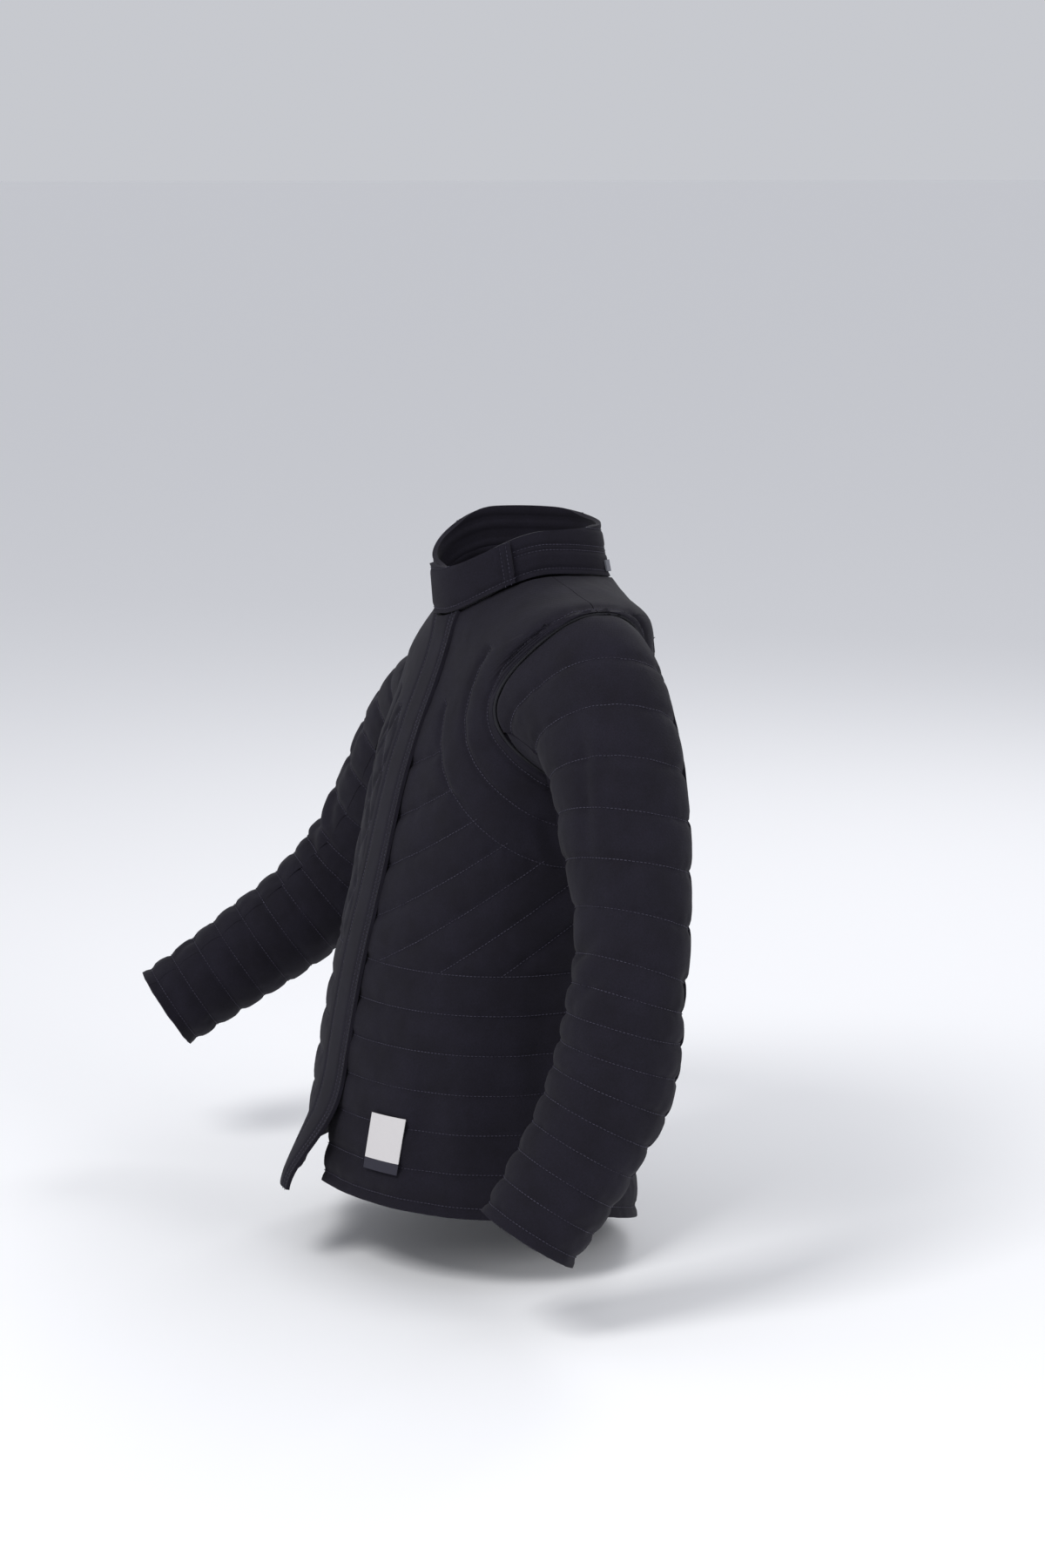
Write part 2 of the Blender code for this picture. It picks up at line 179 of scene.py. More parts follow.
def body_point(turn, row):
    """A point of the body's outer surface: turn is 0 at the wearer's left, -90 degrees at the front."""
    z_side, z_front, z_back, half_width, y_front, y_side, y_back, squareness = spline_rows(BODY, row)
    across, along = math.cos(turn), math.sin(turn)
    bend = 2 / squareness
    x = half_width * math.copysign(abs(across) ** bend, across)
    reach = abs(along) ** bend
    y_end, z_end = (y_front, z_front) if along < 0 else (y_back, z_back)
    y = y_side + (y_end - y_side) * reach
    z = z_side + (z_end - z_side) * abs(along) ** DIP_POWER
    share = x * abs(x) / BODY[SHOULDER_ROW][3] ** 2 * smooth_step(1 - z / LEAN_START)
    return np.array((x, y - LEAN_FORWARD * share, z + LEAN_RISE * share))


def kick_forward(point):
    """The lower corner of the right front swings forward off the left front."""
    drop = smooth_step((KICK_START - point[2]) / (KICK_START - BODY[0][1]))
    near = smooth_step(1 - max(0.0, PLACKET_EDGE_X[1] - point[0]) / KICK_REACH)
    return point + np.array((0.0, -KICK * drop * drop * near, 0.0))


def same(point):
    """A point left where it is."""
    return point


def armhole_middle(side):
    """The middle of an armhole, on the side line."""
    row = (ARMPIT_ROW + SHOULDER_ROW) / 2
    return body_point(0.0 if side > 0 else math.pi, row)


ARMHOLE_CENTRE = {side: armhole_middle(side) for side in (1, -1)}


def surface_normal(turn, row, shape=same):
    """The outward normal of the body's surface."""
    small = 0.01
    low, high = max(row - small, 0.0), min(row + small, NECK_ROW)
    along = shape(body_point(turn + small, row)) - shape(body_point(turn - small, row))
    up = shape(body_point(turn, high)) - shape(body_point(turn, low))
    normal = np.cross(along, up)
    return normal / np.linalg.norm(normal)


def lifted(turn, row, height, shape=same):
    """A point of the body's surface moved out along its normal."""
    return shape(body_point(turn, row)) + surface_normal(turn, row, shape) * height


def turn_at_x(x, row):
    """The turn at which the front of a ring crosses a given x."""
    ring = spline_rows(BODY, row)
    across = math.copysign(abs(x / ring[3]) ** (ring[7] / 2), x)
    return -math.acos(across)


def front_line(ends, row):
    """The turn of a line down the front, given by its x at the neck and at the hem."""
    x = ends[1] + (ends[0] - ends[1]) * row / NECK_ROW
    return turn_at_x(x, row)


def armhole_turn(row, opening):
    """How far the armhole opens from the side line at a row."""
    share = (row - ARMPIT_ROW) / (SHOULDER_ROW - ARMPIT_ROW)
    if share <= 0 or share >= 1:
        return 0.0
    reach, squareness = opening
    return reach * math.sin(math.pi * share) ** squareness


def side_turn(row):
    """The side seam below the armpit and the shoulder seam above it, as a turn from the side line."""
    return SIDE_SEAM_BACK * smooth_step((ARMPIT_ROW - row) / 1.5)


def collar_point(turn, share, lift=0.0):
    """A point of the collar's outer face: share is 0 at its base and 1 at its rim."""
    base = body_point(turn, NECK_ROW)
    front = (1 - math.sin(turn)) / 2
    height = COLLAR_BACK + (COLLAR_FRONT - COLLAR_BACK) * front - COLLAR_ROLL * math.cos(turn)
    outward = np.array((base[0], base[1], 0.0))
    outward /= np.linalg.norm(outward)
    inset = -COLLAR_LEAN * share + lift
    return base + outward * inset + np.array((0.0, -COLLAR_FORWARD * share, COLLAR_SEAT + height * share))


def armhole_point(side, angle):
    """The body's armhole edge. The angle runs from the shoulder tip (0) by the front (-) or back (+)."""
    share = 1 - abs(angle) / math.pi
    eased = (1 - math.cos(math.pi * share)) / 2
    row = ARMPIT_ROW + (SHOULDER_ROW - ARMPIT_ROW) * eased
    opening = armhole_turn(row, ARMHOLE_FRONT if angle < 0 else ARMHOLE_BACK)
    turn = -opening if angle < 0 else opening
    if side < 0:
        turn = math.pi - turn
    return turn, row


def sleeve_head(side, angle):
    """The inner face of the sleeve's edge, which passes through the armhole just inside the body's edge."""
    turn, row = armhole_point(side, angle)
    normal = surface_normal(turn, row)
    small = 0.02
    ahead = body_point(*armhole_point(side, min(angle + small, math.pi)))
    behind = body_point(*armhole_point(side, max(angle - small, -math.pi)))
    across = np.cross(ahead - behind, normal)
    across *= math.copysign(1.0, across.dot(ARMHOLE_CENTRE[side] - body_point(turn, row)))
    across /= np.linalg.norm(across)
    return body_point(turn, row) - normal * WALL + across * (WALL + SLEEVE_CLEAR)


def arm_frame(table, place):
    """Centre, outward and rear directions and half-axes of the arm at a place counted in rows."""
    rows = np.array(list(table.values()))
    here = spline_rows(rows, place)
    small = 0.05
    low, high = max(place - small, 0.0), min(place + small, len(rows) - 1)
    axis = spline_rows(rows, high)[:3] - spline_rows(rows, low)[:3]
    axis /= np.linalg.norm(axis)
    side = math.copysign(1.0, rows[0][0])
    outward = np.array((side, 0.0, 0.0))
    outward -= axis * outward.dot(axis)
    outward /= np.linalg.norm(outward)
    rear = np.cross(axis, outward) * side
    rear *= math.copysign(1.0, rear[1])
    return here[:3], axis, outward, rear, here[3], here[4]


def arm_point(table, angle, place, lift=0.0):
    """A point of the sleeve below its cap. The angle is 0 on the outer side and positive to the rear."""
    centre, _, outward, rear, half_wide, half_deep = arm_frame(table, place)
    return (
        centre
        + outward * math.cos(angle) * (half_wide + lift)
        + rear * math.sin(angle) * (half_deep + lift)
    )


def sleeve_point(side, table, angle, travel):
    """A point of the sleeve: travel is 0 at the head, 1 at the foot of the cap and 2 at the cuff."""
    if travel >= 1:
        return arm_point(table, angle, (travel - 1) * (len(table) - 1), -WALL)
    head = sleeve_head(side, angle)
    foot = arm_point(table, angle, 0.0, -WALL)
    axis = arm_frame(table, 0.0)[1]
    rise = max((foot - head).dot(axis), 0.0) * 0.8
    knee = foot - axis * rise
    return (1 - travel) ** 2 * head + 2 * travel * (1 - travel) * knee + travel ** 2 * foot


# Quilting, measured on the cloth
WAIST_Z = -0.340            # the highest level line of the skirt
SKIRT_STEP = 0.0367
SKIRT_LINES = 6
HEM_STITCH = 0.010
SLANT = 0.68                # rise of the front's slanted channels
SLANT_ACROSS = (0.375, 0.927)
SLANT_FIRST = -0.0820
SLANT_STEP = -0.0405
SLANT_LINES = 7
ARMHOLE_LINES = (0.009, 0.040, 0.078)
LATTICE_STEP = 0.056
LATTICE_RISE = 1.35
LATTICE_FIRST = -0.62
LATTICE_LINES = 16
CHEVRON_RISE = 0.45         # slope of the back's channels
CHEVRON_FIRST = -0.40
CHEVRON_STEP = 0.042
CHEVRON_LINES = 9
CUFF_STITCH = 0.010
FOREARM_FIRST = 0.036
FOREARM_STEP = 0.0290
FOREARM_LINES = 9
UPPER_ARM_STEP = 0.046
UPPER_ARM_LINES = 7
CAP_RINGS = 44
ARM_RINGS = 120
LABEL_LIFT = 0.0042
CORD_POINTS = 160
CORD_ROUNDING = 5
CORD_RADIUS = 0.0016
CORD_LIFT = -0.0006
TUCK_RINGS = 4              # seam allowance of a sleeve, inside the armhole
TUCK_REACH = 0.014
TUCK_DEPTH = 0.003
LOWER_ROWS = 82            # fine rows below, beside and above the armhole
ARMHOLE_ROWS = 45
YOKE_ROWS = 22
FINE_COLUMNS = 96

# Folds of the sleeves, placed from the cuff and round the arm
# Columns: along, turn in degrees, length, width, depth, slope
LEFT_FOLDS = {
    "armpit_long":  (0.425, -58, 0.060, 0.007, 0.0034, 0.10),
    "armpit_short": (0.445, -36, 0.040, 0.006, 0.0022, 0.16),
    "biceps":       (0.360, -22, 0.055, 0.006, 0.0018, 0.12),
    "crook":        (0.272, -84, 0.034, 0.010, 0.0034, 1.20),
    "crook_low":    (0.236, -72, 0.028, 0.008, 0.0024, 1.05),
    "elbow":        (0.250, 70, 0.030, 0.010, 0.0020, -1.10),
}
RIGHT_FOLDS = {
    "armpit":       (0.400, -70, 0.060, 0.008, 0.0034, 0.15),
    "crook":        (0.262, -80, 0.036, 0.010, 0.0036, 1.10),
    "crook_high":   (0.300, -95, 0.030, 0.008, 0.0028, 0.80),
    "wrist":        (0.046, -60, 0.030, 0.005, 0.0016, 0.60),
    "wrist_short":  (0.066, -84, 0.024, 0.005, 0.0014, 0.75),
}

# Folds of the body: the ends of each trough, its width and its depth
BODY_FOLDS = {
    "armhole_pull":  ((0.129, -0.098, -0.121), (0.156, -0.074, -0.134), 0.006, 0.0024),
    "under_arm":     ((0.130, -0.110, -0.246), (0.155, -0.084, -0.250), 0.006, 0.0022),
    "side_pull":     ((0.166, -0.050, -0.196), (0.169, -0.034, -0.228), 0.007, 0.0026),
    "side_drop":     ((0.170, -0.054, -0.364), (0.187, -0.056, -0.510), 0.013, 0.0034),
    "hem_wave":      ((0.135, -0.150, -0.430), (0.145, -0.160, -0.566), 0.017, 0.0030),
    "back_waist":    ((0.060, 0.098, -0.350), (0.125, 0.075, -0.318), 0.010, 0.0036),
    "back_waist_low": ((-0.040, 0.098, -0.392), (0.030, 0.100, -0.380), 0.012, 0.0030),
    "back_drop":     ((-0.070, 0.098, -0.440), (-0.082, 0.100, -0.600), 0.018, 0.0036),
    "blade_left":    ((0.110, 0.095, -0.215), (0.140, 0.060, -0.150), 0.008, 0.0026),
    "blade_right":   ((-0.100, 0.100, -0.240), (-0.142, 0.062, -0.162), 0.009, 0.0030),
    "right_pull":    ((-0.120, -0.100, -0.150), (-0.155, -0.060, -0.190), 0.008, 0.0030),
    "right_drop":    ((-0.166, -0.060, -0.330), (-0.180, -0.070, -0.480), 0.014, 0.0030),
}


class JacketSizes(bpy.types.PropertyGroup):
    """Sizes a maker would change."""
    channel_depth: bpy.props.FloatProperty(
        name="Channel depth", description="How deep the sewn channels pull in", default=0.0024, unit="LENGTH")
    channel_width: bpy.props.FloatProperty(
        name="Channel width", description="Half-width of a stitch line's dip", default=0.0040, unit="LENGTH")
    pucker: bpy.props.FloatProperty(
        name="Pucker", description="Height of the gathers along a stitch line", default=0.0007, unit="LENGTH")
    stitch_step: bpy.props.FloatProperty(
        name="Stitch step", description="Distance from one stitch to the next", default=0.0036, unit="LENGTH")
    stitch_length: bpy.props.FloatProperty(
        name="Stitch length", description="Length of a stitch", default=0.0022, unit="LENGTH")
    thread_radius: bpy.props.FloatProperty(
        name="Thread radius", description="Radius of the sewing thread", default=0.00034, unit="LENGTH")


class JacketColours(bpy.types.PropertyGroup):
    """Colours of the finishes, as sRGB hex."""
    cloth: bpy.props.StringProperty(name="Cloth", description="Padded cotton", default="#17151c")
    cloth_light: bpy.props.StringProperty(name="Rubbed", description="Rubbed cloth", default="#1f1d27")
    thread: bpy.props.StringProperty(name="Thread", description="Sewing thread", default="#4c4a58")
    lining: bpy.props.StringProperty(name="Binding", description="Folded edge binding", default="#17161c")
    label: bpy.props.StringProperty(name="Label", description="Woven label", default="#cfcccc")
    tab: bpy.props.StringProperty(name="Tab", description="Tab under the label", default="#34333c")
    tape: bpy.props.StringProperty(name="Tape", description="Webbing", default="#6b6c74")


def linear(hex_colour):
    """An sRGB hex colour as linear red, green, blue and alpha."""
    parts = [int(hex_colour[place:place + 2], 16) / 255 for place in (1, 3, 5)]
    return [((part + 0.055) / 1.055) ** 2.4 if part > 0.04045 else part / 12.92 for part in parts] + [1.0]


def add_node(tree, kind, settings=(), values=(), links=()):
    """Add a node with its settings, socket values and incoming links."""
    node = tree.nodes.new(kind)
    for name, value in dict(settings).items():
        setattr(node, name, value)
    for name, value in dict(values).items():
        node.inputs[name].default_value = value
    for name, source in dict(links).items():
        tree.links.new(source, node.inputs[name])
    return node


def woven(name, dark, light, thread_mm, roughness, sheen, bump_mm):
    """Plain woven cotton: two crossed sets of threads, faint mottling and a soft sheen of fibre ends.

    The threads are drawn a little coarser than they are, so that they show.
    """
    if name in bpy.data.materials:
        return bpy.data.materials[name]
    made = bpy.data.materials.new(name)
    made.use_nodes = True
    tree = made.node_tree
    shader = tree.nodes["Principled BSDF"]
    place = add_node(tree, "ShaderNodeTexCoord").outputs["Object"]
    cloud = add_node(tree, "ShaderNodeTexNoise", values={"Scale": 26.0, "Detail": 6.0, "Roughness": 0.62},
                     links={"Vector": place})
    fleck = add_node(tree, "ShaderNodeTexNoise", values={"Scale": 900.0, "Detail": 3.0},
                     links={"Vector": place})
    blend = add_node(tree, "ShaderNodeMath", {"operation": "MULTIPLY"},
                     links={0: cloud.outputs["Fac"], 1: fleck.outputs["Fac"]})
    ramp = add_node(tree, "ShaderNodeValToRGB", links={"Fac": blend.outputs[0]})
    ramp.color_ramp.elements[0].position = 0.14
    ramp.color_ramp.elements[0].color = linear(dark)
    ramp.color_ramp.elements[1].position = 0.42
    ramp.color_ramp.elements[1].color = linear(light)
    tree.links.new(ramp.outputs["Color"], shader.inputs["Base Color"])
    thread_scale = 1000 / thread_mm / (2 * math.pi) * 2
    level = add_node(tree, "ShaderNodeTexWave", {"bands_direction": "Z"},
                     {"Scale": thread_scale, "Distortion": 0.6, "Detail": 1.0}, {"Vector": place})
    upright = add_node(tree, "ShaderNodeTexWave", {"bands_direction": "DIAGONAL"},
                       {"Scale": thread_scale, "Distortion": 0.6, "Detail": 1.0}, {"Vector": place})
    weave = add_node(tree, "ShaderNodeMath", {"operation": "MULTIPLY"},
                     links={0: level.outputs["Fac"], 1: upright.outputs["Fac"]})
    relief = add_node(tree, "ShaderNodeMath", {"operation": "ADD"},
                      links={0: weave.outputs[0], 1: fleck.outputs["Fac"]})
    bump = add_node(tree, "ShaderNodeBump", values={"Strength": 0.35, "Distance": bump_mm / 1000},
                    links={"Height": relief.outputs[0]})
    tree.links.new(bump.outputs["Normal"], shader.inputs["Normal"])
    shader.inputs["Roughness"].default_value = roughness
    shader.inputs["Sheen Weight"].default_value = sheen
    shader.inputs["Sheen Roughness"].default_value = 0.5
    shader.inputs["Specular IOR Level"].default_value = 0.13
    return made


def cotton():
    """Plain-woven cotton, matt, rubbed paler in random patches."""
    colours = bpy.context.scene.jacket_colours
    return woven("padded_cotton", colours.cloth, colours.cloth_light, 1.1, 0.88, 0.035, 0.30)


def thread():
    """Spun polyester thread, a little paler than the cloth."""
    colours = bpy.context.scene.jacket_colours
    return woven("polyester_thread", colours.thread, colours.cloth_light, 0.4, 0.6, 0.03, 0.05)


def binding():
    """Folded cotton binding."""
    colours = bpy.context.scene.jacket_colours
    return woven("cotton_binding", colours.lining, colours.cloth, 0.8, 0.8, 0.03, 0.15)


def label_cloth():
    """White damask-woven label, smooth and slightly glossy."""
    colours = bpy.context.scene.jacket_colours
    return woven("damask_label", colours.label, colours.label, 0.5, 0.6, 0.0, 0.08)


def tab_cloth():
    """Dark grey woven tab."""
    colours = bpy.context.scene.jacket_colours
    return woven("grey_tab", colours.tab, colours.tab, 0.6, 0.75, 0.03, 0.12)


def tape():
    """Grey woven tape."""
    colours = bpy.context.scene.jacket_colours
    return woven("woven_tape", colours.tape, colours.tape, 0.9, 0.75, 0.05, 0.25)


def fine_rows():
    """Rows of a fine body grid, closer where the armhole curves."""
    lower = np.linspace(0, ARMPIT_ROW, LOWER_ROWS)
    eased = (1 - np.cos(np.linspace(0, np.pi, ARMHOLE_ROWS))) / 2
    middle = ARMPIT_ROW + (SHOULDER_ROW - ARMPIT_ROW) * eased
    upper = np.linspace(SHOULDER_ROW, NECK_ROW, YOKE_ROWS)
    return np.concatenate((lower, middle[1:], upper[1:]))


def body_grid(start, stop, columns, shape=same):
    """Points of a fine body panel between two lines, each a function from row to turn."""
    return np.array([
        [shape(body_point(turn, row)) for turn in np.linspace(start(row), stop(row), columns)]
        for row in fine_rows()
    ])


def grid_normals(points):
    """Unit normals of a grid whose columns run with the turn and whose rows run up."""
    normals = np.cross(np.gradient(points, axis=1), np.gradient(points, axis=0))
    lengths = np.linalg.norm(normals, axis=2, keepdims=True)
    return normals / np.maximum(lengths, 1e-12)


def armhole_distance(points, side):
    """Distance of each point from an armhole's edge."""
    edge = np.array([body_point(*armhole_point(side, angle)) for angle in np.linspace(-math.pi, math.pi, 90)])
    flat = points.reshape(-1, 1, 3)
    return np.linalg.norm(flat - edge[None], axis=2).min(axis=1).reshape(points.shape[:2])


def level_fields(points, slanted):
    """The body's quilting as fields: each is (values, levels, mask)."""
    height = points[:, :, 2]
    side = 1 if points[-1, :, 0].mean() + points[ARMPIT_ROW, :, 0].mean() >= 0 else -1
    near = armhole_distance(points, side)
    skirt = [WAIST_Z - SKIRT_STEP * line for line in range(SKIRT_LINES)]
    fields = [(height, skirt, height < WAIST_Z + 0.004)]
    fields.append((near, [ARMHOLE_LINES[0]], height < 0.1))
    fields.append((near, [ARMHOLE_LINES[1]], height < -0.035))
    fields.append((near, [ARMHOLE_LINES[2]], (height < -0.095) & (height > WAIST_Z)))
    chest = (near > ARMHOLE_LINES[2]) & (height > WAIST_Z) & (height < -0.11)
    for field, levels in slanted:
        fields.append((field, levels, chest))
    return fields


def channel_depth(points, fields):
    """Distance from each point to the nearest stitch line, in metres on the cloth."""
    nearest = np.full(points.shape[:2], 1.0)
    step_across = np.linalg.norm(np.gradient(points, axis=1), axis=2)
    step_up = np.linalg.norm(np.gradient(points, axis=0), axis=2)
    for values, levels, mask in fields:
        slope = np.hypot(np.gradient(values, axis=1) / step_across, np.gradient(values, axis=0) / step_up)
        slope = np.maximum(slope, 0.2)
        for level in levels:
            gap = np.abs(values - level) / slope
            nearest = np.where(mask, np.minimum(nearest, gap), nearest)
    return nearest


def quilt(points, fields, folds=0.0):
    """Pull a grid in along its stitch lines and pucker it."""
    sizes = bpy.context.scene.jacket_sizes
    nearest = channel_depth(points, fields)
    dip = np.exp(-(nearest / sizes.channel_width) ** 2)
    shallow = np.exp(-(nearest / (2.6 * sizes.channel_width)) ** 2)
    lift = -sizes.channel_depth * dip + 0.0010 * (1 - shallow)
    ripple = np.empty(points.shape[:2])
    broad = np.empty(points.shape[:2])
    for place in np.ndindex(ripple.shape):
        spot = Vector(points[place])
        ripple[place] = noise.noise(spot * 85)
        broad[place] = noise.noise(spot * 17)
    lift += sizes.pucker * ripple * (0.45 + 1.2 * shallow) + 0.0016 * broad + folds
    return points + grid_normals(points) * lift[:, :, None]


def contour_mesh(name, points, fields, lift):
    """The stitch lines of a grid as a mesh of edges, lifted off the cloth."""
    normals = grid_normals(points)
    rows, columns = points.shape[:2]
    spots, keys, edges = [], {}, []

    def crossing(first, second, values, level, field):
        key = (field, level, first, second)
        if key not in keys:
            share = (level - values[first]) / (values[second] - values[first])
            spot = points[first] * (1 - share) + points[second] * share
            keys[key] = len(spots)
            spots.append(spot + normals[first] * lift)
        return keys[key]

    for field, (values, levels, mask) in enumerate(fields):
        for level in levels:
            above = values > level
            cells = (above[:-1, :-1] != above[1:, :-1]) | (above[:-1, :-1] != above[:-1, 1:])
            cells |= above[:-1, :-1] != above[1:, 1:]
            for row, column in zip(*np.nonzero(cells & mask[:-1, :-1])):
                corners = [(row, column), (row, column + 1), (row + 1, column + 1), (row + 1, column)]
                sides = [tuple(sorted((corners[turn], corners[(turn + 1) % 4]))) for turn in range(4)]
                hits = [side for side in sides if above[side[0]] != above[side[1]]]
                if len(hits) == 2:
                    edges.append([crossing(*hit, values, level, field) for hit in hits])
    mesh = bpy.data.meshes.new(name)
    mesh.from_pydata([tuple(spot) for spot in spots], edges, [])
    return mesh


def stitch_tree():
    """Geometry Nodes: a row of short thread stitches along each line."""
    name = "stitch_rows"
    if name in bpy.data.node_groups:
        return bpy.data.node_groups[name]
    tree = bpy.data.node_groups.new(name, "GeometryNodeTree")
    for label, kind, direction in (
        ("Geometry", "NodeSocketGeometry", "INPUT"), ("Step", "NodeSocketFloat", "INPUT"),
        ("Length", "NodeSocketFloat", "INPUT"), ("Radius", "NodeSocketFloat", "INPUT"),
        ("Material", "NodeSocketMaterial", "INPUT"), ("Geometry", "NodeSocketGeometry", "OUTPUT"),
    ):
        tree.interface.new_socket(label, in_out=direction, socket_type=kind)
    source = add_node(tree, "NodeGroupInput")
    lines = add_node(tree, "GeometryNodeMeshToCurve", links={"Mesh": source.outputs["Geometry"]})
    rows = add_node(tree, "GeometryNodeResampleCurve", {"mode": "LENGTH"},
                    links={"Curve": lines.outputs["Curve"], "Length": source.outputs["Step"]})
    tangent = add_node(tree, "GeometryNodeInputTangent")
    turn = add_node(tree, "FunctionNodeAlignRotationToVector", {"axis": "Z"},
                    links={"Vector": tangent.outputs["Tangent"]})
    stitch = add_node(tree, "GeometryNodeMeshCylinder", values={"Vertices": 5},
                      links={"Radius": source.outputs["Radius"], "Depth": source.outputs["Length"]})
    placed = add_node(tree, "GeometryNodeInstanceOnPoints",
                      links={"Points": rows.outputs["Curve"], "Instance": stitch.outputs["Mesh"],
                             "Rotation": turn.outputs["Rotation"]})
    real = add_node(tree, "GeometryNodeRealizeInstances", links={"Geometry": placed.outputs["Instances"]})
    finish = add_node(tree, "GeometryNodeSetMaterial",
                      links={"Geometry": real.outputs["Geometry"], "Material": source.outputs["Material"]})
    add_node(tree, "NodeGroupOutput", links={"Geometry": finish.outputs["Geometry"]})
    return tree


def link(piece):
    """Put a piece in the scene."""
    bpy.context.scene.collection.objects.link(piece)
    return piece


def plain_mesh(piece):
    """Replace a piece's mesh by its evaluated one and drop its modifiers."""
    graph = bpy.context.evaluated_depsgraph_get()
    mesh = bpy.data.meshes.new_from_object(piece.evaluated_get(graph))
    piece.modifiers.clear()
    piece.data = mesh
    return piece


def stitches(name, points, fields, lift=0.0003):
    """Stitches along the lines of a grid, riding with the jacket."""
    sizes = bpy.context.scene.jacket_sizes
    piece = link(bpy.data.objects.new(name, contour_mesh(name, points, fields, lift)))
    rows = piece.modifiers.new("stitches", "NODES")
    rows.node_group = stitch_tree()
    wanted = {"Step": sizes.stitch_step, "Length": sizes.stitch_length, "Radius": sizes.thread_radius,
              "Material": thread()}
    for socket in rows.node_group.interface.items_tree:
        if socket.name in wanted:
            rows[socket.identifier] = wanted[socket.name]
    plain_mesh(piece)
    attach(piece, "root")
    return piece


def sheet_piece(name, points, finish, wall, node=None):
    """A closed cloth shell whose outer face is the grid, standing for its solid."""
    rows, columns = points.shape[:2]
    faces = [
        (row * columns + column, row * columns + column + 1,
         (row + 1) * columns + column + 1, (row + 1) * columns + column)
        for row in range(rows - 1)
        for column in range(columns - 1)
    ]
    mesh = bpy.data.meshes.new(name)
    mesh.from_pydata(points.reshape(-1, 3).tolist(), [], faces)
    mesh.materials.append(finish)
    piece = link(bpy.data.objects.new(name, mesh))
    solid = piece.modifiers.new("wall", "SOLIDIFY")
    solid.thickness = wall
    solid.offset = -1.0
    solid.use_even_offset = False
    plain_mesh(piece)
    piece.data.shade_smooth()
    piece.data.set_sharp_from_angle(angle=math.radians(55))
    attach(piece, "root")
    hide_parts(node or name.replace("cloth_", ""))
    return piece


def slanted_field(points):
    """The front's slanted channels."""
    across = SLANT_ACROSS[0] * np.abs(points[:, :, 0]) + SLANT_ACROSS[1] * points[:, :, 1]
    return points[:, :, 2] - SLANT * across, [SLANT_FIRST + SLANT_STEP * line for line in range(SLANT_LINES)]


def lattice_fields(points):
    """Crossed slanted channels, which make diamonds."""
    levels = [LATTICE_FIRST + LATTICE_STEP * line for line in range(LATTICE_LINES)]
    rise = LATTICE_RISE * np.abs(points[:, :, 0])
    return [(points[:, :, 2] + rise, levels), (points[:, :, 2] - rise, levels)]


def chevron_field(points):
    """The back's channels, which meet at its middle."""
    levels = [CHEVRON_FIRST + CHEVRON_STEP * line for line in range(CHEVRON_LINES)]
    return points[:, :, 2] - CHEVRON_RISE * np.abs(points[:, :, 0]), levels


def hem_field(points):
    """Distance up from a panel's lower edge."""
    steps = np.linalg.norm(np.diff(points, axis=0), axis=2)
    return np.vstack((np.zeros((1, points.shape[1])), np.cumsum(steps, axis=0)))


def body_folds(points):
    """Troughs laid on the body, each along a short line and fading to its ends."""
    total = np.zeros(points.shape[:2])
    for start, end, width, depth in BODY_FOLDS.values():
        first, run = np.array(start), np.array(end) - np.array(start)
        share = np.clip((points - first) @ run / run.dot(run), 0, 1)
        gap = np.linalg.norm(points - (first + share[:, :, None] * run), axis=2)
        fade = 0.35 + 0.65 * np.sin(math.pi * share)
        total -= depth * fade * np.exp(-(gap / width) ** 2)
        total += 0.4 * depth * fade * np.exp(-((gap - 2 * width) / width) ** 2)
    return total


def body_panel(name, points, slanted):
    """A quilted body panel and its stitches."""
    fields = level_fields(points, slanted)
    hem = hem_field(points)
    fields.append((hem, [HEM_STITCH], hem < 0.05))
    shaped = quilt(points, fields, folds=body_folds(points))
    sheet_piece(f"cloth_{name}", shaped, cotton(), WALL * 0.9)
    stitches(f"stitches_{name}", shaped, fields)


def sleeve_frames(table, travel):
    """The frame of a ring below the cap."""
    return arm_frame(table, (travel - 1) * (len(table) - 1))


def tucked_rings(side, angles):
    """Rings of a sleeve's seam allowance, which lies under the body's edge."""
    rings = []
    for ring in range(TUCK_RINGS, 0, -1):
        row = []
        for angle in angles:
            held = (angle + math.pi) % (2 * math.pi) - math.pi
            turn, place = armhole_point(side, held)
            outward = surface_normal(turn, place)
            edge = body_point(turn, place) - outward * (WALL + TUCK_DEPTH)
            head = sleeve_head(side, held)
            away = edge - head
            away -= outward * away.dot(outward)
            away /= max(np.linalg.norm(away), 1e-9)
            reach = TUCK_REACH * ring / TUCK_RINGS
            row.append(head + away * reach - outward * TUCK_DEPTH * ring / TUCK_RINGS)
        rings.append(row)
    return np.array(rings)


